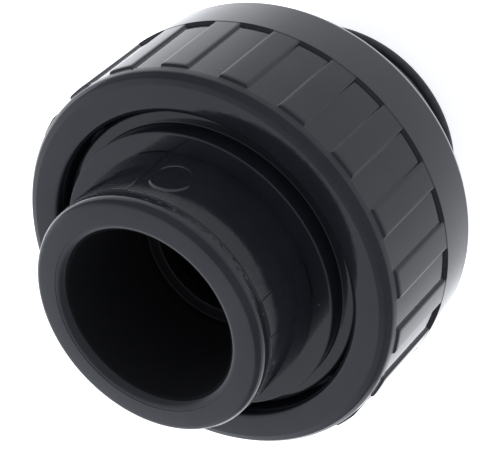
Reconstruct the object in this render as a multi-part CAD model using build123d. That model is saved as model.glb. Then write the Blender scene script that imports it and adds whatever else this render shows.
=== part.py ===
from build123d import *
import os
from math import cos, pi, radians, sin

# A plastic pipe union for 20 mm pipe. A glue socket is clamped on an O-ring by a ribbed union nut,
# and the other side ends in a male G1 pipe thread. Everything is coaxial with Z. The face of the
# threaded end is at Z = 0 and the mouth of the glue socket is at the top. Sizes are millimetres.

# --- driving sizes -------------------------------------------------------------------------------
TOTAL_LENGTH = 46.6
SEAL_PLANE = 27.5
SEAL_GAP = 0.04
EDGE_ROUND = 0.25

# union nut, outside
NUT_BOTTOM = 16.0
NUT_TOP = 36.0
NUT_FRONT_BEVEL = [(23.0, 0.85), (22.75, 0.5), (22.35, 0.25), (21.5, 0.0)]
NUT_FLOOR_REAR_RADIUS = 23.72
NUT_FLOOR_FRONT_RADIUS = 23.1
NUT_RIB_RADIUS = 23.5
NUT_RIB_TOP = NUT_TOP - 1.9
NUT_RING_RADIUS = 24.2
NUT_RING_TOP = 23.1
NUT_REAR_CURVE = [(23.6, 0.0), (23.85, 0.12), (24.0, 0.35), (24.12, 0.7), (24.2, 1.3)]
RIB_COUNT = 21
RIB_SHARE = 0.47
RIB_EDGE_ROUND = 0.22
RIB_DRAFT = 0.2

# union nut, inside
NUT_HOLE_RADIUS = 18.7
NUT_HOLE_ROUND = 0.6
NUT_LIP_THICKNESS = 4.5
NUT_THREAD_BOTTOM = 16.2
NUT_THREAD_TOP = 27.7

# glue socket end
SOCKET_RADIUS = 10.05
SOCKET_DEPTH = 16.0
LEAD_IN_WIDTH = 1.05
LEAD_IN_DEPTH = 0.7
STOP_RADIUS = 8.5
HUB_RIM_RADIUS = 13.85
HUB_RIM_ROUND = 0.9
HUB_FRONT_RADIUS = 13.95
HUB_ROOT_RADIUS = 14.5
HUB_PARTING_Z = 44.6
HUB_PARTING_STEP = 0.05
STEP_RADIUS = 16.8
STEP_TOP = NUT_TOP + 0.6
PILOT_RADIUS = 18.35
PILOT_TOP = NUT_TOP - 1.8
FLANGE_RADIUS = 20.15

# low strips and the moulded ring on the outside of the hub
STRIP_ANGLES = [-116.5, -23.3, 63.5, 156.7]
STRIP_WIDTH_ANGLE = 16.7
STRIP_HEIGHT = 0.12
MARK_RADIUS = 2.35
MARK_WIDTH = 0.3
MARK_HEIGHT = 0.15
MARK_Z = 40.8
MARK_ANGLE = -43.7

# union thread between nut and adaptor
UNION_PITCH = 3.0
UNION_ROOT_RADIUS = 20.1
UNION_CREST_RADIUS = 21.05
UNION_ROOT_HALF_WIDTH = 1.0
UNION_CREST_HALF_WIDTH = 0.45
UNION_THREAD_BOTTOM = 17.6
UNION_THREAD_TOP = 27.1
THREAD_CLEARANCE = 0.28

# G1 pipe thread
PIPE_PITCH = 2.309
PIPE_CREST_RADIUS = 16.62
PIPE_ROOT_RADIUS = 15.145
PIPE_ROOT_HALF_WIDTH = 1.0
PIPE_CREST_HALF_WIDTH = 0.22
PIPE_THREAD_BOTTOM = 0.1
PIPE_THREAD_TOP = 11.0

# threaded adaptor
COLLAR_BOTTOM = 11.6
COLLAR_TOP = 15.6
COLLAR_ACROSS_FLATS = 37.0
COLLAR_SIDES = 8
COLLAR_CORNER_DROP = 0.8
NECK_RADIUS = 18.3
NECK_TOP = 16.2
NECK_SLOPE_HEIGHT = 0.8
SEAL_CHAMFER = 0.4
WATERWAY_RADIUS = 10.0
THREAD_END_BORE_RADIUS = 11.4

# O-ring and its groove
RING_MEAN_RADIUS = 15.0
RING_WIDTH = 3.3
RING_GAP = 0.01
GROOVE_WIDTH = 3.7
GROOVE_DEPTH = 2.5

# how far one joined shape reaches into the next, so that they fuse, and how far a cut stands clear
OVERLAP = 0.25
CUT_CLEAR = 0.5


def around_z(points):
    """The solid of revolution of a closed (radius, height) outline."""
    return revolve(Plane.XZ * make_face(Polyline(*points, close=True)), Axis.Z)


def tube(inner, outer, bottom, top):
    """A plain ring between two radii."""
    return around_z([(inner, bottom), (outer, bottom), (outer, top), (inner, top)])


def outer_round(radius, height, size, facing, steps=4):
    """Outline points, from low to high, of an outside corner rounded off; facing is "up" or "down"."""
    up = facing == "up"
    start = 0 if up else -90
    middle = height - size if up else height + size
    angles = [radians(start + 90 * i / steps) for i in range(steps + 1)]
    return [(radius - size + size * cos(a), middle + size * sin(a)) for a in angles]


def helical_ridge(pitch, root_radius, crest_radius, root_half, crest_half, bottom, top):
    """A right-handed thread ridge of trapezoid section; its phase is set by angle 0 at Z = 0."""
    path = Helix(pitch=pitch, height=top - bottom, radius=root_radius)
    reach = crest_radius - root_radius
    sunk = -OVERLAP if reach > 0 else OVERLAP
    foot = root_half - (root_half - crest_half) * sunk / reach
    section = Polyline((sunk, -foot), (reach, -crest_half), (reach, crest_half), (sunk, foot), close=True)
    start = Plane(origin=path @ 0, x_dir=(1, 0, 0), z_dir=path % 0)
    ridge = sweep(start * make_face(section), path=path, is_frenet=True)
    return Pos(0, 0, bottom) * Rot(0, 0, 360 * bottom / pitch) * ridge


def end_tapers(root, crest, bottom, top):
    """The space that a thread may fill: a ring whose ends slope down towards the root."""
    side = 1 if crest > root else -1
    sunk = root - 2 * side * OVERLAP
    clear = crest + side * OVERLAP
    rise = abs(clear - sunk)
    return around_z([(sunk, bottom), (clear, bottom + rise), (clear, top - rise), (sunk, top)])


# --- union nut -----------------------------------------------------------------------------------
def union_nut():
    """Nut body with an inward lip at the top, ribs outside and the union thread inside."""
    bore = UNION_CREST_RADIUS + THREAD_CLEARANCE
    lip_bottom = NUT_TOP - NUT_LIP_THICKNESS
    inside = [
        (NUT_HOLE_RADIUS + NUT_HOLE_ROUND * (1 - cos(a)), NUT_TOP - NUT_HOLE_ROUND * (1 - sin(a)))
        for a in (pi / 2, 3 * pi / 8, pi / 4, pi / 8, 0)
    ]
    inside += [(NUT_HOLE_RADIUS, lip_bottom), (bore, lip_bottom), (bore, NUT_BOTTOM)]
    outside = (
        [(radius, NUT_BOTTOM + rise) for radius, rise in NUT_REAR_CURVE]
        + [(NUT_RING_RADIUS, NUT_RING_TOP)]
        + outer_round(NUT_RIB_RADIUS, NUT_RIB_TOP, RIB_EDGE_ROUND, "up", 3)
        + [(NUT_FLOOR_FRONT_RADIUS, NUT_RIB_TOP)]
        + [(radius, NUT_TOP - drop) for radius, drop in NUT_FRONT_BEVEL]
    )
    nut = around_z(inside + outside)
    groove = rib_groove()
    nut -= [Rot(0, 0, (i + 0.5) * 360 / RIB_COUNT) * groove for i in range(RIB_COUNT)]
    return nut + nut_thread()


def rib_groove():
    """One groove between two ribs, centred on the X axis, with a floor that narrows to the front."""
    half = pi / RIB_COUNT * (1 - RIB_SHARE)
    clear = NUT_RING_RADIUS + CUT_CLEAR
    flare = RIB_DRAFT * (clear - NUT_FLOOR_FRONT_RADIUS) / clear
    upper = [(NUT_HOLE_RADIUS, half), (clear, half + flare)]
    corners = upper + [(r, -a) for r, a in reversed(upper)]
    outline = Polyline(*[(r * cos(a), r * sin(a)) for r, a in corners], close=True)
    wedge = Pos(0, 0, NUT_RING_TOP) * extrude(make_face(outline), NUT_RIB_TOP - NUT_RING_TOP)
    band = around_z(
        [
            (NUT_FLOOR_REAR_RADIUS, NUT_RING_TOP),
            (clear, NUT_RING_TOP),
            (clear, NUT_RIB_TOP),
            (NUT_FLOOR_FRONT_RADIUS, NUT_RIB_TOP),
        ]
    )
    return wedge & band


def nut_thread():
    """The inside thread: it fills the space between the turns of the union thread, less the clearance."""
    slope = (UNION_ROOT_HALF_WIDTH - UNION_CREST_HALF_WIDTH) / (UNION_CREST_RADIUS - UNION_ROOT_RADIUS)
    full = UNION_PITCH / 2 - THREAD_CLEARANCE * (1 - slope)
    root = UNION_CREST_RADIUS + THREAD_CLEARANCE
    crest = UNION_ROOT_RADIUS + THREAD_CLEARANCE
    ridge = helical_ridge(
        UNION_PITCH,
        root,
        crest,
        full - UNION_CREST_HALF_WIDTH,
        full - UNION_ROOT_HALF_WIDTH,
        NUT_BOTTOM - UNION_PITCH,
        NUT_THREAD_TOP + UNION_PITCH,
    )
    between = Rot(0, 0, 180) * ridge
    return between & end_tapers(root, crest, NUT_THREAD_BOTTOM, NUT_THREAD_TOP)


# --- glue socket end -----------------------------------------------------------------------------
def socket_end():
    """Glue socket with a step, a pilot ring and the flange that the nut's lip pulls down."""
    stop_height = TOTAL_LENGTH - SOCKET_DEPTH
    flange_bottom = SEAL_PLANE + SEAL_GAP
    flange_top = NUT_TOP - NUT_LIP_THICKNESS - SEAL_GAP
    bore = [
        (SOCKET_RADIUS + LEAD_IN_WIDTH, TOTAL_LENGTH),
        (SOCKET_RADIUS, TOTAL_LENGTH - LEAD_IN_DEPTH),
        (SOCKET_RADIUS, stop_height),
        (STOP_RADIUS, stop_height),
        (STOP_RADIUS, flange_bottom + WATERWAY_RADIUS - STOP_RADIUS),
        (WATERWAY_RADIUS, flange_bottom),
    ]
    flange = outer_round(FLANGE_RADIUS, flange_bottom, EDGE_ROUND, "down")
    flange += outer_round(FLANGE_RADIUS, flange_top, EDGE_ROUND, "up")
    steps = [(PILOT_RADIUS, flange_top)] + outer_round(PILOT_RADIUS, PILOT_TOP, EDGE_ROUND, "up")
    steps += [(STEP_RADIUS, PILOT_TOP)] + outer_round(STEP_RADIUS, STEP_TOP, EDGE_ROUND, "up")
    hub = [
        (HUB_ROOT_RADIUS, STEP_TOP),
        (HUB_FRONT_RADIUS, HUB_PARTING_Z),
        (HUB_RIM_RADIUS, HUB_PARTING_Z + HUB_PARTING_STEP),
    ]
    hub += outer_round(HUB_RIM_RADIUS, TOTAL_LENGTH, HUB_RIM_ROUND, "up", 8)
    return around_z(bore + flange + steps + hub) + hub_strips() + moulded_ring()


def hub_skin(height, bottom, top):
    """A thin layer over the hub that follows its slight draft."""
    draft = (HUB_ROOT_RADIUS - HUB_FRONT_RADIUS) / (HUB_PARTING_Z - STEP_TOP)
    low = HUB_ROOT_RADIUS - draft * (bottom - STEP_TOP)
    high = HUB_ROOT_RADIUS - draft * (top - STEP_TOP)
    return around_z(
        [(low - OVERLAP, bottom), (low + height, bottom), (high + height, top), (high - OVERLAP, top)]
    )


def hub_strips():
    """Four low strips that run along the hub from the step to the mould's parting line."""
    half_width = (HUB_ROOT_RADIUS + STRIP_HEIGHT) * sin(radians(STRIP_WIDTH_ANGLE / 2))
    blade = Pos(HUB_ROOT_RADIUS, 0, (STEP_TOP + HUB_PARTING_Z) / 2) * Box(
        HUB_ROOT_RADIUS / 2, 2 * half_width, HUB_PARTING_Z - STEP_TOP + 2 * CUT_CLEAR
    )
    skin = hub_skin(STRIP_HEIGHT, STEP_TOP - OVERLAP, HUB_PARTING_Z)
    return [skin & (Rot(0, 0, angle) * blade) for angle in STRIP_ANGLES]


def moulded_ring():
    """A thin raised circle on the side of the hub, facing MARK_ANGLE."""
    side = Plane(origin=(HUB_ROOT_RADIUS / 2, 0, MARK_Z), x_dir=(0, 1, 0), z_dir=(1, 0, 0))
    circle = extrude(side * (Circle(MARK_RADIUS) - Circle(MARK_RADIUS - MARK_WIDTH)), HUB_ROOT_RADIUS)
    skin = hub_skin(MARK_HEIGHT, MARK_Z - 1.5 * MARK_RADIUS, MARK_Z + 1.5 * MARK_RADIUS)
    return Rot(0, 0, MARK_ANGLE) * (circle & skin)


# --- threaded adaptor ----------------------------------------------------------------------------
def threaded_adaptor():
    """Union thread and seal face on top, an octagonal collar, and the G1 thread below."""
    body = around_z(
        [
            (THREAD_END_BORE_RADIUS, 0),
            (PIPE_ROOT_RADIUS, 0),
            (PIPE_ROOT_RADIUS, COLLAR_BOTTOM + OVERLAP),
            (NECK_RADIUS, COLLAR_BOTTOM + OVERLAP),
            (NECK_RADIUS, NECK_TOP),
            (UNION_ROOT_RADIUS, NECK_TOP + NECK_SLOPE_HEIGHT),
            (UNION_ROOT_RADIUS, SEAL_PLANE - SEAL_CHAMFER),
            (UNION_ROOT_RADIUS - SEAL_CHAMFER, SEAL_PLANE),
            (WATERWAY_RADIUS, SEAL_PLANE),
            (WATERWAY_RADIUS, COLLAR_TOP),
            (THREAD_END_BORE_RADIUS, COLLAR_BOTTOM),
        ]
    )
    body -= tube(
        RING_MEAN_RADIUS - GROOVE_WIDTH / 2,
        RING_MEAN_RADIUS + GROOVE_WIDTH / 2,
        SEAL_PLANE - GROOVE_DEPTH,
        SEAL_PLANE + CUT_CLEAR,
    )
    return body + octagon_collar() + union_thread() + pipe_thread()


def octagon_collar():
    """Eight flats for a spanner, with the corners turned off at both faces."""
    flat = COLLAR_ACROSS_FLATS / 2
    corner = flat / cos(pi / COLLAR_SIDES)
    prism = Pos(0, 0, COLLAR_BOTTOM) * extrude(
        RegularPolygon(corner, COLLAR_SIDES), COLLAR_TOP - COLLAR_BOTTOM
    )
    inner = PIPE_ROOT_RADIUS - OVERLAP
    turned = around_z(
        [
            (inner, COLLAR_BOTTOM),
            (flat, COLLAR_BOTTOM),
            (corner + OVERLAP, COLLAR_BOTTOM + COLLAR_CORNER_DROP),
            (corner + OVERLAP, COLLAR_TOP - COLLAR_CORNER_DROP),
            (flat, COLLAR_TOP),
            (inner, COLLAR_TOP),
        ]
    )
    return prism & turned


def union_thread():
    """The coarse outside thread that the nut runs on."""
    ridge = helical_ridge(
        UNION_PITCH,
        UNION_ROOT_RADIUS,
        UNION_CREST_RADIUS,
        UNION_ROOT_HALF_WIDTH,
        UNION_CREST_HALF_WIDTH,
        UNION_THREAD_BOTTOM - UNION_PITCH / 2,
        UNION_THREAD_TOP + UNION_PITCH / 2,
    )
    return ridge & end_tapers(UNION_ROOT_RADIUS, UNION_CREST_RADIUS, UNION_THREAD_BOTTOM, UNION_THREAD_TOP)


def pipe_thread():
    """The male G1 thread."""
    ridge = helical_ridge(
        PIPE_PITCH,
        PIPE_ROOT_RADIUS,
        PIPE_CREST_RADIUS,
        PIPE_ROOT_HALF_WIDTH,
        PIPE_CREST_HALF_WIDTH,
        -PIPE_PITCH / 2,
        PIPE_THREAD_TOP + PIPE_PITCH / 2,
    )
    return ridge & end_tapers(PIPE_ROOT_RADIUS, PIPE_CREST_RADIUS, PIPE_THREAD_BOTTOM, PIPE_THREAD_TOP)


# --- O-ring --------------------------------------------------------------------------------------
def o_ring():
    """Seal ring as it sits when clamped: an oval section that just clears the groove and the flange."""
    section = Ellipse(RING_WIDTH / 2, GROOVE_DEPTH / 2 - RING_GAP)
    return revolve(Plane.XZ * Pos(RING_MEAN_RADIUS, SEAL_PLANE - GROOVE_DEPTH / 2) * section, Axis.Z)


pieces = {
    "threaded_adaptor": threaded_adaptor(),
    "o_ring": o_ring(),
    "socket_end": socket_end(),
    "union_nut": union_nut(),
}
os.makedirs("parts", exist_ok=True)
for name, piece in pieces.items():
    export_step(piece, f"parts/{name}.step")
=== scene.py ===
import math

import bmesh
import bpy
import numpy as np
from mathutils import Matrix, Vector, noise


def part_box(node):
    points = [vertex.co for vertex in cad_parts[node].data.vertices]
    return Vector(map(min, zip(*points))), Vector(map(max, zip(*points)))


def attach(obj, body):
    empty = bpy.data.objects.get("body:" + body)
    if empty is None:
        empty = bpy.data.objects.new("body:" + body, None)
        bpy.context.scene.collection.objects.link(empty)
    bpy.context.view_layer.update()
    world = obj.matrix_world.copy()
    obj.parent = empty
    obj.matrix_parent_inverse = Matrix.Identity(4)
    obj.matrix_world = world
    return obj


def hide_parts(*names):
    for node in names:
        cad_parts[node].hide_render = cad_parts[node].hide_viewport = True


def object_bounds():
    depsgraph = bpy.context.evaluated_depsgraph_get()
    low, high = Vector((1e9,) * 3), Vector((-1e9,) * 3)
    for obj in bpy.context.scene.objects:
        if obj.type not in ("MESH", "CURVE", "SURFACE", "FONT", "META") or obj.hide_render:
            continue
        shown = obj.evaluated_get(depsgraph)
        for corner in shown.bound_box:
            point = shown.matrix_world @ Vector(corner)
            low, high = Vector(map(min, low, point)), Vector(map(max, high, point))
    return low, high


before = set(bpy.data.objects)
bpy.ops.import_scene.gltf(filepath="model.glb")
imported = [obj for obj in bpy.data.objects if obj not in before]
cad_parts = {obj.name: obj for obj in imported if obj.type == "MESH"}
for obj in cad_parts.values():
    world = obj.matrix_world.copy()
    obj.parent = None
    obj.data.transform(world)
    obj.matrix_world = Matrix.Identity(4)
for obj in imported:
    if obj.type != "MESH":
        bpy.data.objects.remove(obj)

MM = 0.001
TAU = 2 * math.pi
# points closer together than this are one point: metres in a mesh, millimetres in an outline
SAME_POINT = 2e-7
SAME_LEVEL = 1e-6
cad_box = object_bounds()


def height_range(node):
    """Lowest and highest Z of a CAD node, in millimetres."""
    low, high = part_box(node)
    return low.z / MM, high.z / MM


# ---------------------------------------------------------------- sizes, in millimetres
NUT_BOTTOM, NUT_TOP = height_range("union_nut")
ADAPTOR_BOTTOM, SEAL_PLANE = height_range("threaded_adaptor")
FLANGE_BOTTOM, MOUTH_TOP = height_range("socket_end")
RING_BOTTOM, RING_TOP = height_range("o_ring")

# union nut
NUT_REAR_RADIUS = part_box("union_nut")[1].x / MM
NUT_REAR_RING_TOP = NUT_BOTTOM + 7.1
NUT_REAR_CURVE = ((23.85, 0.0, 0.2), (24.2, 0.85, 0.9))
NUT_FRONT_BEVEL = ((23.0, 0.8, 0.7), (22.5, 0.24, 0.7), (21.75, 0.0, 0.5))
NUT_FLOOR_RADIUS = (23.84, 23.15)
NUT_RIB_RADIUS = (24.15, 23.48)
NUT_RIB_TOP = NUT_TOP - 1.6
NUT_HOLE_RADIUS = 18.7
NUT_HOLE_ROUND = 0.6
NUT_LIP_BOTTOM = NUT_TOP - 4.5
RIB_COUNT = 21
RIB_SHARE = 0.47
RIB_EDGE_ROUND = 0.55
RIB_WALL = 0.09
RIB_FOOT = 0.25
RIB_COLUMNS = 54
RIB_COLUMNS_CROWDING = 5
RIB_COLUMNS_REACH = 0.5

# rows of the nut's mesh, crowded where the ribs start and end: gaps under the rear ring's edge,
# heights above it, distances below the ribs' front ends, and heights past them
ROWS_UNDER_EDGE = (0.2, 0.05, 0.012, 0)
ROWS_ABOVE_EDGE = (0.03, 0.08, 0.14, 0.2, 0.26, 0.34, 0.45, 0.7, 1.2, 2.0, 3.2, 4.5, 5.8, 7.1, 8.3, 9.3)
ROWS_BELOW_RIB_TOP = (1.1, 0.7, 0.45, 0.34, 0.26, 0.19, 0.13, 0.08, 0.04, 0.0)
ROWS_PAST_RIB_TOP = (0.05, 0.11)
REAR_WALL_WIDTH = 0.2

# union thread, on the adaptor and in the nut
UNION_PITCH = 3.0
UNION_ROOT = 20.1
UNION_CREST = 21.05
UNION_ROOT_HALF = 1.0
UNION_CREST_HALF = 0.45
UNION_THREAD = (17.6, 27.1)
NUT_THREAD = (16.45, 27.45)
THREAD_GAP = 0.28

# pipe thread
PIPE_PITCH = 2.309
PIPE_ROOT = 15.145
PIPE_CREST = 16.61
PIPE_ROOT_HALF = 1.0
PIPE_CREST_HALF = 0.22
PIPE_THREAD = (0.2, 10.8)

# both threads: easing of the ridge's corners, and how quickly the ends rise to full height
THREAD_ROUND = 0.12
THREAD_EASE = 0.035
THREAD_END_RISE = 1.6

# adaptor
ADAPTOR_COLUMNS = 640
COLLAR = (11.6, 15.6)
COLLAR_FLAT = 18.5
COLLAR_SIDES = 8
COLLAR_TRIM, COLLAR_CONE = 0.12, 0.8
COLLAR_SUPPORT = 0.03
NECK_RADIUS = 18.3
NECK_TOP = COLLAR[1] + 0.8
NECK_CONE_TOP = COLLAR[1] + 1.5
WATERWAY_RADIUS = 10.0
THREAD_END_BORE = 11.4
GROOVE_INNER, GROOVE_OUTER = 13.15, 16.85
GROOVE_FLOOR = SEAL_PLANE - 2.5

# O-ring
RING_COLUMNS, RING_ROWS = 240, 40
RING_FLASH = 0.05
RING_FLASH_WIDTH = 0.07

# glue socket
SOCKET_COLUMNS = 960
SOCKET_RADIUS = 10.05
SOCKET_STOP = MOUTH_TOP - 16.0
LEAD_IN_WIDTH, LEAD_IN_DEPTH = 1.05, 1.25
LEAD_IN_SINK = 0.05
CREASE_WIDTH = 0.015
LEAD_IN_STEPS = 14
STOP_RADIUS = 8.5
HUB_RIM = 13.85
HUB_RIM_ROUND = 0.9
HUB_RIM_LEDGE = 0.08
HUB_ROW_HEIGHT = 0.13
PLAIN_ROW_HEIGHT = 4.0
HUB_FRONT = 13.95
HUB_ROOT = 14.5
HUB_PARTING = MOUTH_TOP - 2.0
STEP_RADIUS = 16.8
STEP_TOP = NUT_TOP + 0.6
PILOT_RADIUS = 18.35
PILOT_TOP = NUT_TOP - 1.8
FLANGE_RADIUS = 20.15
FLANGE_TOP = NUT_LIP_BOTTOM - 0.04

# marks on the hub
STRIP_ANGLES = (-116.5, -23.3, 63.5, 156.7)
STRIP_WIDTH = 16.7
STRIP_HEIGHT = 0.14
MARK_ANGLE, MARK_Z = -43.7, 40.8
MARK_RADIUS, MARK_WIDTH, MARK_HEIGHT = 2.2, 0.36, 0.08
STRIP_EDGE = 0.3

# flash: the ragged line left by the mould behind the hub's rim
FLASH_HEIGHT = 0.035
FLASH_LIFT = 0.2
FLASH_WIDTH = 0.36
FLASH_WANDER = 0.25
FLASH_REACH = (-0.5, 1.1)
FLASH_GRAIN_RADIUS = 14
FLASH_STAIN = (HUB_PARTING - 2.2, HUB_PARTING + 0.3)

# edges that meet at more than this angle, in degrees, stay sharp
SHARP = 40
SOCKET_SHARP = 45
RING_SHARP = 60


# ---------------------------------------------------------------- mesh helpers
def rounded(corners, segments):
    """A closed outline of (radius, height, rounding) corners, with every corner turned to an arc."""
    points = []
    count = len(corners)
    for i, (r, z, size) in enumerate(corners):
        if size <= 0:
            points.append((r, z))
            continue
        corner = Vector((r, z))
        before = Vector(corners[i - 1][:2]) - corner
        after = Vector(corners[(i + 1) % count][:2]) - corner
        # an arc that would reach past the middle of a side is made smaller
        angle = before.angle(after)
        reach = min(size / math.tan(angle / 2), 0.49 * before.length, 0.49 * after.length)
        size = reach * math.tan(angle / 2)
        towards_centre = (before.normalized() + after.normalized()).normalized()
        centre = corner + towards_centre * (size / math.sin(angle / 2))
        first = corner + before.normalized() * reach - centre
        last = corner + after.normalized() * reach - centre
        turn = first.angle(last)
        for k in range(segments + 1):
            share = k / segments
            arc = first * math.sin((1 - share) * turn) + last * math.sin(share * turn)
            points.append(tuple(centre + arc / math.sin(turn)))
    return points


def smooth(x, low, high):
    """0 below low, 1 above high, and a smooth step between."""
    t = np.clip((np.asarray(x, float) - low) / (high - low), 0, 1)
    return t * t * (3 - 2 * t)


def grid_faces(rows, columns, skip=()):
    """Quads of a grid that closes in both directions, without the steps listed in skip."""
    faces = []
    for i in range(rows):
        if i in skip:
            continue
        low, high = i * columns, (i + 1) % rows * columns
        for j in range(columns):
            k = (j + 1) % columns
            faces.append((low + j, low + k, high + k, high + j))
    return faces


def ring_points(radius, height, angles):
    """Vertices of a grid of radii and heights (rows by columns) round the Z axis, in metres."""
    c, s = np.cos(angles), np.sin(angles)
    return np.stack([radius * c, radius * s, height], -1).reshape(-1, 3) * MM


def finish_mesh(name, points, faces, sharp=SHARP):
    """One clean closed mesh object, smooth except at real corners."""
    mesh = bpy.data.meshes.new(name)
    mesh.from_pydata(points.tolist(), [], faces)
    work = bmesh.new()
    work.from_mesh(mesh)
    bmesh.ops.remove_doubles(work, verts=work.verts, dist=SAME_POINT)
    bmesh.ops.dissolve_degenerate(work, edges=work.edges, dist=SAME_POINT / 2)
    bmesh.ops.recalc_face_normals(work, faces=work.faces)
    work.to_mesh(mesh)
    work.free()
    mesh.shade_smooth()
    mesh.set_sharp_from_angle(angle=math.radians(sharp))
    piece = bpy.data.objects.new(name, mesh)
    bpy.context.scene.collection.objects.link(piece)
    return piece


def thread_offsets(pitch, root_half, crest_half):
    """Distances from a crest's middle, over one pitch, at which a thread's mesh has a row."""
    middle_half = (root_half + crest_half) / 2
    stops = [0, 0.5 * crest_half, crest_half - THREAD_ROUND, crest_half, crest_half + THREAD_ROUND]
    stops += [middle_half, root_half - THREAD_ROUND, root_half, root_half + THREAD_ROUND]
    rising = {round(s, 5) for s in stops if 0 <= s < pitch / 2}
    falling = {round(pitch - s, 5) for s in stops if 0 < s < pitch / 2}
    return sorted(rising | falling | {round(pitch / 2, 5)})


def thread_block(angles, pitch, root, crest, root_half, crest_half, span, phase=0.0):
    """A helical ridge between two heights as a grid whose rows climb with the thread.

    Returns its vertices, and its faces counted from 0. The lowest row lies on the lower height all
    round and the highest on the upper one."""
    low, high = span
    flank = abs(crest - root)
    offsets = thread_offsets(pitch, root_half, crest_half)
    rows_per_turn = len(offsets)
    columns = len(angles)
    first = math.floor((low - phase) / pitch) - 2
    last = math.ceil((high - phase) / pitch) + 1
    base = [phase + turn * pitch + o for turn in range(first, last + 1) for o in offsets]
    rows = len(base)
    lead = pitch * np.asarray(angles) / TAU
    raw = np.asarray(base)[:, None] + lead[None, :]
    away = np.abs((raw - lead[None, :] - phase + pitch / 2) % pitch - pitch / 2)
    # a flat crest, a straight flank and a flat root, with the corners eased
    lift = 1 - np.clip((away - crest_half) / (root_half - crest_half), 0, 1)
    near_crest = np.clip(1 - np.abs(away - crest_half) / THREAD_ROUND, 0, 1)
    near_root = np.clip(1 - np.abs(away - root_half) / THREAD_ROUND, 0, 1)
    lift = lift - THREAD_EASE * near_crest + THREAD_EASE * near_root
    height = np.clip(raw, low, high)
    ends = np.clip((height - low) / flank, 0, 1) * np.clip((high - height) / flank, 0, 1)
    ends = np.clip(ends * THREAD_END_RISE, 0, 1)
    radius = root + (crest - root) * lift * ends
    points = ring_points(radius, height, np.asarray(angles))
    faces = []
    for i in range(rows - 1):
        for j in range(columns):
            # past the last column the thread has climbed one pitch
            if j + 1 < columns:
                right, up_right = i * columns + j + 1, (i + 1) * columns + j + 1
            else:
                right = min(i + rows_per_turn, rows - 1) * columns
                up_right = min(i + 1 + rows_per_turn, rows - 1) * columns
            faces.append((i * columns + j, right, up_right, (i + 1) * columns + j))
    return points, faces


def joined(blocks):
    """Several (vertices, faces) blocks as one."""
    points, faces, base = [], [], 0
    for block_points, block_faces in blocks:
        points.append(block_points)
        faces += [tuple(v + base for v in face) for face in block_faces]
        base += len(block_points)
    return np.vstack(points), faces


def turn_away(degrees, centre):
    """Signed turn from the centre to each angle, from -180 to 180 degrees."""
    return (degrees - centre + 180) % 360 - 180


def grain(x, y, z, scale):
    """Repeatable smooth noise from -1 to 1."""
    return noise.noise(Vector((x * scale, y * scale, z * scale)))


# ---------------------------------------------------------------- union nut
def wall_profile(distance):
    """Height share of a raised edge, from its foot outwards: a short wall and then a rounded shoulder."""
    foot = smooth(distance, -RIB_WALL, RIB_WALL)
    shoulder = np.clip((distance + RIB_WALL) / RIB_EDGE_ROUND, 0, 1)
    return (RIB_FOOT + (1 - RIB_FOOT) * np.sqrt(1 - (1 - shoulder) ** 2)) * foot


def rib_columns():
    """Angles round the nut, gradually closer together towards the rib walls, and the rib share at each."""
    pitch = TAU / RIB_COUNT
    half = pitch * RIB_SHARE / 2
    fine = np.linspace(0, pitch, 4001)
    away = np.minimum(np.abs(fine - half), np.abs(pitch - half - fine))
    nearness = np.exp(-((away * NUT_HOLE_RADIUS / RIB_COLUMNS_REACH) ** 2))
    density = 1 + RIB_COLUMNS_CROWDING * nearness
    counted = np.concatenate([[0], np.cumsum((density[1:] + density[:-1]) / 2)])
    steps = np.linspace(0, counted[-1], RIB_COLUMNS, endpoint=False)
    one = np.interp(steps, counted, fine)
    inside = (half - np.minimum(one, pitch - one)) * NUT_REAR_RADIUS
    angles = np.concatenate([one + rib * pitch for rib in range(RIB_COUNT)])
    return angles, np.tile(wall_profile(inside), RIB_COUNT)


def nut_outline(bore):
    """The nut's section without its ribs, as (radius, height) points.

    The rows where the ribs stand have no radius yet."""
    plain = rounded(
        [
            (NUT_HOLE_RADIUS, NUT_LIP_BOTTOM, 0.15),
            (bore, NUT_LIP_BOTTOM, 0.3),
            (bore, NUT_THREAD[1], 0),
            (bore, NUT_THREAD[0], 0),
            (bore, NUT_BOTTOM, 0.2),
            *((r, NUT_BOTTOM + rise, size) for r, rise, size in NUT_REAR_CURVE),
            *((NUT_REAR_RADIUS, NUT_REAR_RING_TOP - gap, 0) for gap in ROWS_UNDER_EDGE),
            (NUT_FLOOR_RADIUS[1], NUT_RIB_TOP, 0),
            *((r, NUT_TOP - drop, size) for r, drop, size in NUT_FRONT_BEVEL),
            (NUT_HOLE_RADIUS, NUT_TOP, NUT_HOLE_ROUND),
        ],
        6,
    )
    edge = next(i for i, (r, z) in enumerate(plain) if abs(z - NUT_REAR_RING_TOP) < SAME_LEVEL)
    span = NUT_RIB_TOP - NUT_REAR_RING_TOP
    rungs = list(ROWS_ABOVE_EDGE)
    rungs += [span - d for d in ROWS_BELOW_RIB_TOP]
    rungs += [span + d for d in ROWS_PAST_RIB_TOP]
    ribbed = [(None, NUT_REAR_RING_TOP + h) for h in rungs]
    return plain[: edge + 1] + ribbed + plain[edge + 2 :]


def ribbed_radius(z, shares):
    """Radius at every column, at a height where the ribs stand; both floor and crown are tapered."""
    up = min(1, (z - NUT_REAR_RING_TOP) / (NUT_RIB_TOP - NUT_REAR_RING_TOP))
    floor = NUT_FLOOR_RADIUS[0] + (NUT_FLOOR_RADIUS[1] - NUT_FLOOR_RADIUS[0]) * up
    crown = NUT_RIB_RADIUS[0] + (NUT_RIB_RADIUS[1] - NUT_RIB_RADIUS[0]) * up
    ribbed = floor + (crown - floor) * shares * float(wall_profile(NUT_RIB_TOP - z))
    rear_wall = 1 - float(smooth(z - NUT_REAR_RING_TOP, 0.0, REAR_WALL_WIDTH))
    return ribbed + (NUT_REAR_RADIUS - ribbed) * rear_wall


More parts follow.
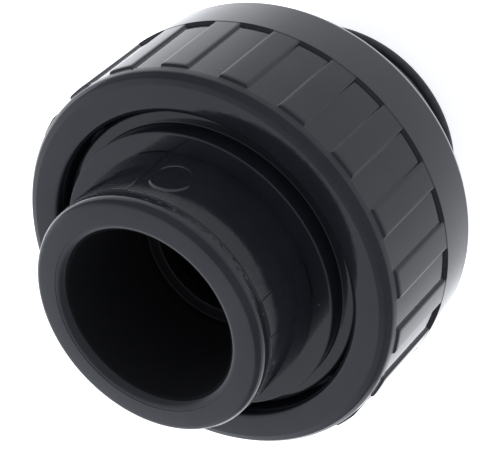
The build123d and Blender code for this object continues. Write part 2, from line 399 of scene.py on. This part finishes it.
def build_nut():
    """Union nut: ribs outside, the union thread and the inward lip inside."""
    angles, shares = rib_columns()
    bore = UNION_CREST + THREAD_GAP
    minor = UNION_ROOT + THREAD_GAP
    outline = nut_outline(bore)
    radius = np.zeros((len(outline), len(angles)))
    height = np.zeros_like(radius)
    for i, (r, z) in enumerate(outline):
        height[i] = z
        radius[i] = ribbed_radius(z, shares) if r is None else r
    # the thread takes the place of the bore's wall between its two ends
    cut = next(
        i for i, (r, z) in enumerate(outline) if r is not None and abs(z - NUT_THREAD[1]) < SAME_LEVEL
    )
    slope = (UNION_ROOT_HALF - UNION_CREST_HALF) / (UNION_CREST - UNION_ROOT)
    full = UNION_PITCH / 2 - THREAD_GAP * (1 - slope)
    thread = thread_block(
        angles,
        UNION_PITCH,
        bore,
        minor,
        full - UNION_CREST_HALF,
        full - UNION_ROOT_HALF,
        NUT_THREAD,
        phase=UNION_PITCH / 2,
    )
    faces = grid_faces(len(outline), len(angles), skip=(cut,))
    body = (ring_points(radius, height, angles), faces)
    return finish_mesh("nut_shell", *joined([body, thread]))


# ---------------------------------------------------------------- glue socket
def socket_outline():
    """The socket end's section as (radius, height) points, with the rows of the hub close together."""
    outline = rounded(
        [
            (SOCKET_RADIUS, SOCKET_STOP, 0.2),
            (STOP_RADIUS, SOCKET_STOP, 0.25),
            (STOP_RADIUS, FLANGE_BOTTOM + WATERWAY_RADIUS - STOP_RADIUS, 0.5),
            (WATERWAY_RADIUS, FLANGE_BOTTOM, 0.15),
            (FLANGE_RADIUS, FLANGE_BOTTOM, 0.25),
            (FLANGE_RADIUS, FLANGE_TOP, 0.25),
            (PILOT_RADIUS, FLANGE_TOP, 0.12),
            (PILOT_RADIUS, PILOT_TOP, 0.4),
            (STEP_RADIUS, PILOT_TOP, 0.15),
            (STEP_RADIUS, STEP_TOP, 0.16),
            (HUB_ROOT, STEP_TOP, 0),
            (HUB_FRONT, HUB_PARTING, 0.02),
            (HUB_RIM, HUB_PARTING + HUB_RIM_LEDGE, 0.02),
            (HUB_RIM, MOUTH_TOP, HUB_RIM_ROUND),
            (SOCKET_RADIUS + LEAD_IN_WIDTH + CREASE_WIDTH, MOUTH_TOP, 0),
        ],
        5,
    )
    # a lead-in that starts in a fine crease and curves down into the bore
    for k in range(LEAD_IN_STEPS + 1):
        turn = math.pi / 2 * k / LEAD_IN_STEPS
        r = SOCKET_RADIUS + LEAD_IN_WIDTH * (1 - math.sin(turn))
        outline.append((r, MOUTH_TOP - LEAD_IN_SINK - LEAD_IN_DEPTH * (1 - math.cos(turn))))
    fine = []
    for i, (r, z) in enumerate(outline):
        next_r, next_z = outline[(i + 1) % len(outline)]
        on_hub = min(z, next_z) > STEP_TOP - 0.01 and min(r, next_r) > HUB_RIM - 1
        step = HUB_ROW_HEIGHT if on_hub else PLAIN_ROW_HEIGHT
        pieces = max(1, math.ceil(math.dist((r, z), (next_r, next_z)) / step))
        fine += [(r + (next_r - r) * k / pieces, z + (next_z - z) * k / pieces) for k in range(pieces)]
    return fine


def hub_relief(degrees, z):
    """How far the low strips and the moulded circle stand out of the hub, at every point."""
    lift = np.zeros_like(z)
    half = STRIP_WIDTH / 2
    for centre in STRIP_ANGLES:
        away = np.abs(turn_away(degrees, centre))
        strip = 1 - smooth(away, half - STRIP_EDGE, half + STRIP_EDGE)
        lift = np.maximum(lift, strip * STRIP_HEIGHT)
    across = turn_away(degrees, MARK_ANGLE) * TAU / 360 * HUB_ROOT
    distance = np.hypot(across[None, :], z - MARK_Z)
    off_line = np.abs(distance - MARK_RADIUS) / (MARK_WIDTH / 2)
    return lift + MARK_HEIGHT * np.clip(1 - off_line**2, 0, 1)


def flash_ridge(angle, z):
    """Height of the ragged flash at one point of the hub."""
    x, y = math.cos(angle), math.sin(angle)
    around_x, around_y = x * FLASH_GRAIN_RADIUS, y * FLASH_GRAIN_RADIUS
    strength = max(0.0, 0.55 + 0.9 * grain(x, y, 0.7, 2.3))
    rough = grain(around_x, around_y, z, 2.2) + 0.7 * grain(around_x, around_y, z, 5.5)
    ridge = max(0.0, rough) * strength
    middle = HUB_PARTING + FLASH_WANDER * grain(x, y, 3.1, 6.0) + FLASH_LIFT
    return FLASH_HEIGHT * ridge * math.exp(-(((z - middle) / FLASH_WIDTH) ** 2))


def build_socket():
    """Glue socket end: bore with its stop, flange, pilot, step, and the hub with its marks."""
    angles = np.arange(SOCKET_COLUMNS) * TAU / SOCKET_COLUMNS
    outline = socket_outline()
    r = np.array([p[0] for p in outline])[:, None] * np.ones(SOCKET_COLUMNS)
    z = np.array([p[1] for p in outline])[:, None] * np.ones(SOCKET_COLUMNS)
    on_side = (z > STEP_TOP + 0.2) & (z < HUB_PARTING + 0.01) & (r > HUB_RIM - 0.3)
    r = r + np.where(on_side, hub_relief(np.degrees(angles), z), 0)
    low, high = (HUB_PARTING + reach for reach in FLASH_REACH)
    for i, (radius, level) in enumerate(outline):
        if low < level < high and radius > HUB_RIM - 0.35:
            r[i] += [flash_ridge(angle, level) for angle in angles]
    points = ring_points(r, z, angles)
    return finish_mesh("socket_shell", points, grid_faces(len(outline), SOCKET_COLUMNS), SOCKET_SHARP)


# ---------------------------------------------------------------- threaded adaptor
def adaptor_outline():
    """The adaptor's section as (radius, height) points; the collar stands for now as a plain disc."""
    return rounded(
        [
            (THREAD_END_BORE, ADAPTOR_BOTTOM, 0.3),
            (PIPE_ROOT, ADAPTOR_BOTTOM, 0.15),
            (PIPE_ROOT, PIPE_THREAD[0], 0),
            (PIPE_ROOT, PIPE_THREAD[1], 0),
            (PIPE_ROOT, COLLAR[0], 0.2),
            (COLLAR_FLAT, COLLAR[0], 0),
            (COLLAR_FLAT, COLLAR[1], 0),
            (NECK_RADIUS, COLLAR[1], 0),
            (NECK_RADIUS, NECK_TOP, 0.2),
            (UNION_ROOT, NECK_CONE_TOP, 0.2),
            (UNION_ROOT, UNION_THREAD[0], 0),
            (UNION_ROOT, UNION_THREAD[1], 0),
            (UNION_ROOT, SEAL_PLANE, 0.35),
            (GROOVE_OUTER, SEAL_PLANE, 0.12),
            (GROOVE_OUTER, GROOVE_FLOOR, 0.2),
            (GROOVE_INNER, GROOVE_FLOOR, 0.2),
            (GROOVE_INNER, SEAL_PLANE, 0.12),
            (WATERWAY_RADIUS, SEAL_PLANE, 0.2),
            (WATERWAY_RADIUS, COLLAR[1], 0.5),
            (THREAD_END_BORE, COLLAR[0], 0.5),
        ],
        4,
    )


def collar_rows(angles):
    """Rows of (radii, heights above the collar's lower face) of the spanner collar.

    Cones turn off the collar's corners, and each flat meets them along a curve."""
    flat_pitch = TAU / COLLAR_SIDES
    corner = COLLAR_FLAT / math.cos(flat_pitch / 2)
    polygon = COLLAR_FLAT / np.cos((angles + flat_pitch / 2) % flat_pitch - flat_pitch / 2)
    meet = (polygon - COLLAR_FLAT + COLLAR_TRIM) / (corner - COLLAR_FLAT) * COLLAR_CONE
    turned = np.full(len(angles), COLLAR_FLAT - COLLAR_TRIM)
    lower = [(turned, 0 * meet), (polygon, meet), (polygon, meet + COLLAR_SUPPORT)]
    tall = COLLAR[1] - COLLAR[0]
    return lower + [(radius, tall - rise) for radius, rise in reversed(lower)]


def build_adaptor():
    """Threaded adaptor: pipe thread, spanner collar, neck, union thread and the O-ring groove."""
    angles = np.arange(ADAPTOR_COLUMNS) * TAU / ADAPTOR_COLUMNS
    outline = adaptor_outline()
    disc = outline.index((COLLAR_FLAT, COLLAR[0]))
    around = np.ones(ADAPTOR_COLUMNS)
    rows = [(radius * around, height * around) for radius, height in outline[:disc]]
    rows += [(radius, COLLAR[0] + rise) for radius, rise in collar_rows(angles)]
    rows += [(radius * around, height * around) for radius, height in outline[disc + 2 :]]
    r, z = (np.array(values) for values in zip(*rows))

    def row_at(level, radius):
        same = (abs(z[:, 0] - level) < SAME_LEVEL) & (abs(r[:, 0] - radius) < SAME_LEVEL)
        return int(np.argmax(same))

    # the two threads take the place of the walls between their ends
    walls = (row_at(PIPE_THREAD[0], PIPE_ROOT), row_at(UNION_THREAD[0], UNION_ROOT))
    body = (ring_points(r, z, angles), grid_faces(len(z), ADAPTOR_COLUMNS, skip=walls))
    pipe = thread_block(
        angles, PIPE_PITCH, PIPE_ROOT, PIPE_CREST, PIPE_ROOT_HALF, PIPE_CREST_HALF, PIPE_THREAD
    )
    union = thread_block(
        angles, UNION_PITCH, UNION_ROOT, UNION_CREST, UNION_ROOT_HALF, UNION_CREST_HALF, UNION_THREAD
    )
    return finish_mesh("adaptor_shell", *joined([body, pipe, union]))


# ---------------------------------------------------------------- O-ring
def build_ring():
    """O-ring, clamped to an oval, with a hair of flash along its outer and inner mould line."""
    angles = np.arange(RING_COLUMNS) * TAU / RING_COLUMNS
    turn = np.arange(RING_ROWS) * TAU / RING_ROWS
    mean = (GROOVE_INNER + GROOVE_OUTER) / 2
    half_height = (RING_TOP - RING_BOTTOM) / 2
    half_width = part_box("o_ring")[1].x / MM - mean
    flash = RING_FLASH * np.exp(-((np.sin(turn) / RING_FLASH_WIDTH) ** 2))
    r = mean + (half_width - RING_FLASH + flash) * np.cos(turn)
    z = (RING_TOP + RING_BOTTOM) / 2 + half_height * np.sin(turn)
    around = np.ones(RING_COLUMNS)
    points = ring_points(r[:, None] * around, z[:, None] * around, angles)
    return finish_mesh("seal_ring", points, grid_faces(RING_ROWS, RING_COLUMNS), RING_SHARP)


# ---------------------------------------------------------------- materials
class Nodes:
    """Small helper that adds and links shader nodes."""

    def __init__(self, tree):
        self.tree = tree

    def add(self, kind, inputs=None, **settings):
        node = self.tree.nodes.new(kind)
        for key, value in settings.items():
            setattr(node, key, value)
        for key, value in (inputs or {}).items():
            socket = node.inputs[key]
            if isinstance(value, bpy.types.NodeSocket):
                self.tree.links.new(value, socket)
            else:
                socket.default_value = value
        return node

    def noise(self, where, scale, detail=3.0, roughness=0.5, distortion=0.0):
        inputs = {"Vector": where, "Scale": scale, "Detail": detail}
        inputs |= {"Roughness": roughness, "Distortion": distortion}
        return self.add("ShaderNodeTexNoise", inputs).outputs["Fac"]

    def ramp(self, value, low, high, to_low=0.0, to_high=1.0):
        inputs = {0: value, 1: low, 2: high, 3: to_low, 4: to_high}
        return self.add("ShaderNodeMapRange", inputs, interpolation_type="SMOOTHSTEP").outputs[0]

    def math(self, operation, a, b=0.0):
        return self.add("ShaderNodeMath", {0: a, 1: b}, operation=operation).outputs[0]

    def product(self, first, *others):
        for other in others:
            first = self.math("MULTIPLY", first, other)
        return first

    def total(self, first, *weighted):
        """A value with (value, weight) pairs added to it."""
        for value, weight in weighted:
            first = self.math("ADD", first, self.math("MULTIPLY", value, weight))
        return first

    def stretched(self, where, scale, rotation):
        inputs = {"Vector": where, "Scale": scale, "Rotation": rotation}
        return self.add("ShaderNodeMapping", inputs).outputs[0]

    def bumped(self, relief, strength, depth):
        inputs = {"Height": relief, "Strength": strength, "Distance": depth}
        return self.add("ShaderNodeBump", inputs).outputs[0]

    def vector(self, operation, a, b=None, output=0):
        inputs = {0: a} if b is None else {0: a, 1: b}
        return self.add("ShaderNodeVectorMath", inputs, operation=operation).outputs[output]

    def along(self, axis):
        """Object position along one axis, in metres."""
        place = self.add("ShaderNodeTexCoord").outputs["Object"]
        return self.add("ShaderNodeSeparateXYZ", {0: place}).outputs[axis]

    def height(self):
        """Object height, in metres."""
        return self.along(2)

    def radius(self):
        """Distance from the Z axis, in metres."""
        x, y = self.along(0), self.along(1)
        return self.math("SQRT", self.math("ADD", self.product(x, x), self.product(y, y)))

    def mix(self, share, a, b):
        """A colour between a and b."""
        node = self.add("ShaderNodeMix", data_type="RGBA")
        for key, kind, value in (("Factor", "VALUE", share), ("A", "RGBA", a), ("B", "RGBA", b)):
            socket = next(s for s in node.inputs if s.name == key and s.type == kind)
            if isinstance(value, bpy.types.NodeSocket):
                self.tree.links.new(value, socket)
            else:
                socket.default_value = value
        return next(s for s in node.outputs if s.type == "RGBA")


def new_material(name):
    material = bpy.data.materials.new(name)
    material.use_nodes = True
    tree = material.node_tree
    tree.nodes.clear()
    nodes = Nodes(tree)
    shader = nodes.add("ShaderNodeBsdfPrincipled")
    output = nodes.add("ShaderNodeOutputMaterial")
    tree.links.new(shader.outputs[0], output.inputs[0])
    return material, nodes, shader


def position_mm(nodes, shift):
    """Object position in millimetres, moved by a fixed amount so that pieces don't share a pattern."""
    coordinates = nodes.add("ShaderNodeTexCoord").outputs["Object"]
    inputs = {"Vector": coordinates, "Location": shift, "Scale": (1000, 1000, 1000)}
    return nodes.add("ShaderNodeMapping", inputs).outputs[0]


PLASTIC_DARK = (0.0100, 0.0102, 0.0132, 1)
PLASTIC_LIGHT = (0.0130, 0.0134, 0.0172, 1)
PLASTIC_SCUFF = (0.07, 0.072, 0.076, 1)
PLASTIC_INSIDE = (0.0140, 0.0140, 0.0152, 1)
# painted shade for the bores, from the pipe stop down
PLASTIC_DEEP_PAINTED_SHADE = (0.0050, 0.0050, 0.0056, 1)
PLASTIC_IOR = 1.31
PLASTIC_BUMP = 0.3
PLASTIC_BUMP_DEPTH = 0.00004
RUBBER_DARK = (0.010, 0.010, 0.011, 1)
RUBBER_BLOOM = (0.028, 0.028, 0.030, 1)
RUBBER_BUMP = 0.6
RUBBER_BUMP_DEPTH = 0.00005

# roughness of the plain plastic; the adaptor, mostly handled thread, is duller
NUT_GLOSS = 0.09
SOCKET_GLOSS = 0.07
ADAPTOR_GLOSS = 0.2


class Layers:
    """What a plastic is mixed from: base tone, share of scuffed colour, roughness and relief."""

    def __init__(self, tone, marks, roughness, relief, grit):
        self.tone = tone
        self.marks = marks
        self.roughness = roughness
        self.relief = relief
        self.grit = grit


def moulded_surface(nodes, where, gloss):
    """Satin gloss, faint flow marks, fine scratches and dust."""
    cloud = nodes.noise(where, 0.11, detail=4, roughness=0.55)
    blotch = nodes.noise(where, 0.5, detail=5, roughness=0.6, distortion=0.4)
    peel = nodes.noise(where, 2.6, detail=2, roughness=0.5)
    grit = nodes.noise(where, 14.0, detail=2, roughness=0.6)
    drawn_out = nodes.stretched(where, (1.0, 1.0, 0.06), (0.02, 0.01, 0))
    flow = nodes.noise(drawn_out, 1.3, detail=3, roughness=0.6, distortion=0.3)
    thin = nodes.stretched(where, (0.12, 1.9, 1.1), (0.5, 0.9, 0.4))
    scratch = nodes.ramp(nodes.noise(thin, 4.0, detail=3, roughness=0.65), 0.72, 0.8)
    cells = nodes.add("ShaderNodeTexVoronoi", {"Vector": where, "Scale": 0.55, "Randomness": 1.0})
    cell_number = nodes.add("ShaderNodeSeparateColor", {0: cells.outputs["Color"]}).outputs[0]
    speck = nodes.ramp(cells.outputs["Distance"], 0.075, 0.035)
    dust = nodes.product(nodes.ramp(cell_number, 0.86, 0.9), speck)

    tone = nodes.mix(nodes.ramp(cloud, 0.35, 0.65), PLASTIC_DARK, PLASTIC_LIGHT)
    marks = nodes.math("MAXIMUM", nodes.product(scratch, 0.14), nodes.product(dust, 0.5))
    patchy_gloss = nodes.ramp(blotch, 0.35, 0.7, gloss - 0.02, gloss + 0.03)
    fine_gloss = nodes.ramp(grit, 0.3, 0.7, -0.01, 0.01)
    roughness = nodes.math("ADD", nodes.total(patchy_gloss, (scratch, 0.1)), fine_gloss)
    waves = nodes.total(nodes.product(peel, 0.35), (flow, 0.4))
    relief = nodes.total(waves, (grit, 0.06), (scratch, -0.12), (dust, 0.8))
    return Layers(tone, marks, roughness, relief, grit)


def stain_flash(nodes, where, layers):
    """A mottled, softly reflecting belt behind the hub's rim, where the flash was torn off."""
    low, high = FLASH_STAIN
    z = nodes.height()
    rising = nodes.ramp(z, low * MM, (low + 1.6) * MM)
    falling = nodes.ramp(z, high * MM, (high - 0.35) * MM)
    belt = nodes.product(rising, falling)
    ragged = nodes.ramp(nodes.noise(where, 0.42, detail=6, roughness=0.65, distortion=0.6), 0.5, 0.76)
    outer = nodes.ramp(nodes.radius(), (SOCKET_RADIUS + 2) * MM, (HUB_RIM - 0.5) * MM)
    torn = nodes.product(belt, ragged, outer)
    layers.marks = nodes.math("MAXIMUM", layers.marks, nodes.product(torn, 0.1))
    dulled = nodes.product(belt, nodes.math("ADD", 0.12, nodes.product(ragged, 0.22)), outer)
    layers.roughness = nodes.math("ADD", layers.roughness, dulled)
    layers.relief = nodes.total(layers.relief, (nodes.product(torn, layers.grit), 0.8))


def scuff_thread(nodes, where, layers):
    """Handling has dulled and greyed the pipe thread from about half its depth outwards."""
    root, crest, top = PIPE_ROOT * MM, PIPE_CREST * MM, COLLAR[0] * MM
    outward = nodes.ramp(nodes.radius(), (root + crest) / 2, crest)
    below_collar = nodes.ramp(nodes.height(), top, top - MM)
    uneven = nodes.noise(where, 0.8, detail=6, roughness=0.7, distortion=0.8)
    patchy = nodes.ramp(uneven, 0.3, 0.62, 0.45, 1.0)
    worn = nodes.product(outward, below_collar, patchy)
    layers.marks = nodes.math("MAXIMUM", layers.marks, nodes.product(worn, 0.9))
    layers.roughness = nodes.total(layers.roughness, (worn, 0.3))
    layers.relief = nodes.total(layers.relief, (nodes.product(worn, layers.grit), 1.5))


def darken_bore(nodes, layers, bore):
    """The inside stays clean and even; from the pipe stop down it is dullest, with painted shade: a darker
    colour standing in for the shade far down the bore.
    """
    inside = nodes.ramp(nodes.radius(), (bore + 0.6) * MM, (bore + 0.1) * MM)
    low = nodes.ramp(nodes.height(), (SOCKET_STOP + 1.5) * MM, (SOCKET_STOP + 0.4) * MM)
    painted_shade_zone = nodes.product(inside, low)
    layers.tone = nodes.mix(inside, layers.tone, PLASTIC_INSIDE)
    # painted shade: a darker colour far down the bore, where shade falls
    layers.tone = nodes.mix(painted_shade_zone, layers.tone, PLASTIC_DEEP_PAINTED_SHADE)
    layers.roughness = nodes.total(layers.roughness, (painted_shade_zone, 0.45))
    layers.marks = nodes.product(layers.marks, nodes.math("SUBTRACT", 1.0, inside))


def connect(material, shader, colour, roughness, normal):
    links = material.node_tree.links
    links.new(colour, shader.inputs["Base Color"])
    links.new(roughness, shader.inputs["Roughness"])
    links.new(normal, shader.inputs["Normal"])


def plastic(name, shift, gloss, flash=False, scuffed=False, bore=None):
    """Dark moulded PVC, with the marks that its piece bears."""
    material, nodes, shader = new_material(name)
    where = position_mm(nodes, shift)
    layers = moulded_surface(nodes, where, gloss)
    if flash:
        stain_flash(nodes, where, layers)
    if scuffed:
        scuff_thread(nodes, where, layers)
    # a bore also gets painted shade from the pipe stop down
    if bore:
        darken_bore(nodes, layers, bore)
    colour = nodes.mix(layers.marks, layers.tone, PLASTIC_SCUFF)
    shader.inputs["IOR"].default_value = PLASTIC_IOR
    normal = nodes.bumped(layers.relief, PLASTIC_BUMP, PLASTIC_BUMP_DEPTH)
    connect(material, shader, colour, layers.roughness, normal)
    return material


def rubber(name):
    """Matt black seal rubber with a fine grain and a bloom of lighter dust."""
    material, nodes, shader = new_material(name)
    where = position_mm(nodes, (3, 7, 1))
    bloom = nodes.noise(where, 0.7, detail=4, roughness=0.6)
    fine = nodes.noise(where, 9.0, detail=4, roughness=0.6)
    colour = nodes.mix(nodes.ramp(bloom, 0.4, 0.8), RUBBER_DARK, RUBBER_BLOOM)
    roughness = nodes.ramp(fine, 0.3, 0.7, 0.55, 0.75)
    normal = nodes.bumped(fine, RUBBER_BUMP, RUBBER_BUMP_DEPTH)
    connect(material, shader, colour, roughness, normal)
    return material


# ---------------------------------------------------------------- pieces
nut_plastic = plastic("nut_pvc", (0, 0, 0), NUT_GLOSS)
socket_plastic = plastic("socket_pvc", (40, 13, 5), SOCKET_GLOSS, flash=True, bore=SOCKET_RADIUS)
adaptor_plastic = plastic("adaptor_pvc", (9, 70, 21), ADAPTOR_GLOSS, scuffed=True, bore=THREAD_END_BORE)
seal_rubber = rubber("seal_rubber_black")
for build, node, body, slot, material in (
    (build_nut, "union_nut", "union_nut", "nut_plastic", nut_plastic),
    (build_socket, "socket_end", "socket_end", "socket_plastic", socket_plastic),
    (build_adaptor, "threaded_adaptor", "threaded_adaptor", "adaptor_plastic", adaptor_plastic),
    (build_ring, "o_ring", "threaded_adaptor", "seal_rubber", seal_rubber),
):
    piece = build()
    piece.data.materials.append(material)
    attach(piece, body)
    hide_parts(node)


# ---------------------------------------------------------------- floor, light and camera
FLOOR_HALF_SIDE = 1.5
FLOOR_GAP = 0.0002
FLOOR_GREY = (0.7, 0.7, 0.7, 1)
FLOOR_PALE = (0.74, 0.74, 0.74, 1)
# painted light: the floor glows, though it is no lamp, more strongly off the calm side and not at all
# under the fitting
FLOOR_GLOW_COLOUR = (0.99, 1.0, 1.02, 1)
FLOOR_GLOW = 0.75
FLOOR_SIDE_GLOW = 0.36
FLOOR_DARK_RADIUS = 14.0
FLOOR_CALM_HALF_ANGLE = 60
FLOOR_CALM_TURN = math.radians(-14)


def floor_mesh():
    """A wide square just under the fitting."""
    side = FLOOR_HALF_SIDE
    level = cad_box[0][2] - FLOOR_GAP
    corners = [(-side, -side, level), (side, -side, level), (side, side, level), (-side, side, level)]
    mesh = bpy.data.meshes.new("floor")
    mesh.from_pydata(corners, [], [(0, 1, 2, 3)])
    return mesh


def floor_glow(nodes, where, towards_calm):
    """How strongly the floor glows: not at all under the fitting, and least on the calm side."""
    flat = nodes.vector("MULTIPLY", where, (1, 1, 0))
    outward = nodes.vector("NORMALIZE", flat)
    away = nodes.vector("LENGTH", flat, output="Value")
    calm = Vector((towards_calm.x, towards_calm.y, 0)).normalized()
    calm.rotate(Matrix.Rotation(FLOOR_CALM_TURN, 3, "Z"))
    facing = nodes.vector("DOT_PRODUCT", outward, calm, output="Value")
    edge = FLOOR_CALM_HALF_ANGLE
    share = nodes.ramp(facing, math.cos(math.radians(edge - 4)), math.cos(math.radians(edge + 18)))
    lit = nodes.ramp(away, FLOOR_DARK_RADIUS, FLOOR_DARK_RADIUS + 1)
    return nodes.product(nodes.total(FLOOR_GLOW, (share, FLOOR_SIDE_GLOW)), lit)


def build_floor(towards_calm):
    """A pale floor, lit and glowing to read as white, with a painted glow that is stronger except on the
    side it is given.
    """
    material, nodes, shader = new_material("floor_white")
    where = position_mm(nodes, (0, 0, 0))
    tone = nodes.mix(nodes.noise(where, 0.02, 3), FLOOR_GREY, FLOOR_PALE)
    links = material.node_tree.links
    links.new(tone, shader.inputs["Base Color"])
    links.new(floor_glow(nodes, where, towards_calm), shader.inputs["Emission Strength"])
    shader.inputs["Emission Color"].default_value = FLOOR_GLOW_COLOUR
    shader.inputs["Roughness"].default_value = 0.9
    shader.inputs["Specular IOR Level"].default_value = 0.1
    mesh = floor_mesh()
    mesh.materials.append(material)
    floor = bpy.data.objects.new("floor", mesh)
    bpy.context.scene.collection.objects.link(floor)


# where the camera stands, found from the photo: two directions across the fitting, one from its mouth to
# its threaded end, and the centre of the nut's front (in millimetres), all as right, down and forward of
# the camera; the phase is the turn of the first rib from the first of them
PHASE = math.radians(64.84)
ACROSS_1 = Vector((-0.8370, 0.0, 0.5477))
ACROSS_2 = Vector((-0.2484, -0.8917, -0.3796))
ALONG = Vector((0.4880, -0.4535, 0.7460))
FRONT_CENTRE = Vector((-5.511, 4.430, 132.618))
FRONT_HEIGHT = 35.19
LENS = 86.9
SENSOR_WIDTH = 36
NEAREST = 0.005


def camera_axes():
    """The fitting's X, Y and Z axes as the camera sees them: right, down, forward."""
    x = ACROSS_1 * math.cos(PHASE) + ACROSS_2 * math.sin(PHASE)
    y = ACROSS_1 * math.sin(PHASE) - ACROSS_2 * math.cos(PHASE)
    return x.normalized(), y.normalized(), -ALONG.normalized()


def place_camera():
    """Set up the camera, and return its right, down and forward in the fitting's axes."""
    x, y, z = camera_axes()
    place = Vector((-x.dot(FRONT_CENTRE), -y.dot(FRONT_CENTRE), FRONT_HEIGHT - z.dot(FRONT_CENTRE)))
    right = Vector((x[0], y[0], z[0]))
    down = Vector((x[1], y[1], z[1]))
    forward = Vector((x[2], y[2], z[2]))
    turn = Matrix((right, -down, -forward)).transposed()
    data = bpy.data.cameras.new("camera")
    data.lens = LENS
    data.sensor_width = SENSOR_WIDTH
    data.clip_start = NEAREST
    camera = bpy.data.objects.new("camera", data)
    camera.matrix_world = Matrix.Translation(place * MM) @ turn.to_quaternion().to_matrix().to_4x4()
    bpy.context.scene.collection.objects.link(camera)
    bpy.context.scene.camera = camera
    return right, down, forward


ROOM_COLOUR = (0.93, 0.98, 1.07, 1)
ROOM_LEVEL = 0.72
ROOM_BEHIND_CAMERA = 0.12
ROOM_KEY = 1.15


def light_lobe(nodes, direction, towards, wide, narrow):
    """A round patch of the surroundings: 1 within the narrow angle and 0 past the wide one, in degrees."""
    facing = nodes.vector("DOT_PRODUCT", direction, towards.normalized(), output="Value")
    return nodes.ramp(facing, math.cos(math.radians(wide)), math.cos(math.radians(narrow)))


def light_room(right, down, forward):
    """Soft surroundings, brightest at the picture's lower left, a little brighter behind the camera."""
    world = bpy.data.worlds.new("studio")
    bpy.context.scene.world = world
    world.use_nodes = True
    world.node_tree.nodes.clear()
    nodes = Nodes(world.node_tree)
    direction = nodes.add("ShaderNodeTexCoord").outputs["Generated"]
    behind = light_lobe(nodes, direction, -forward, 68, 40)
    key = light_lobe(nodes, direction, -right * 0.8 + down * 0.6 + forward * 0.05, 58, 22)
    level = nodes.product(nodes.total(1.0, (behind, ROOM_BEHIND_CAMERA)), ROOM_LEVEL)
    level = nodes.total(level, (key, ROOM_KEY))
    background = nodes.add("ShaderNodeBackground", {"Color": ROOM_COLOUR, "Strength": level})
    output = nodes.add("ShaderNodeOutputWorld")
    world.node_tree.links.new(background.outputs[0], output.inputs[0])


right, down, forward = place_camera()
upper_right = right * 0.73 - down * 0.68
build_floor(upper_right)
light_room(right, down, forward)

settings = bpy.context.scene.view_settings
settings.view_transform = "Standard"
settings.look = "None"
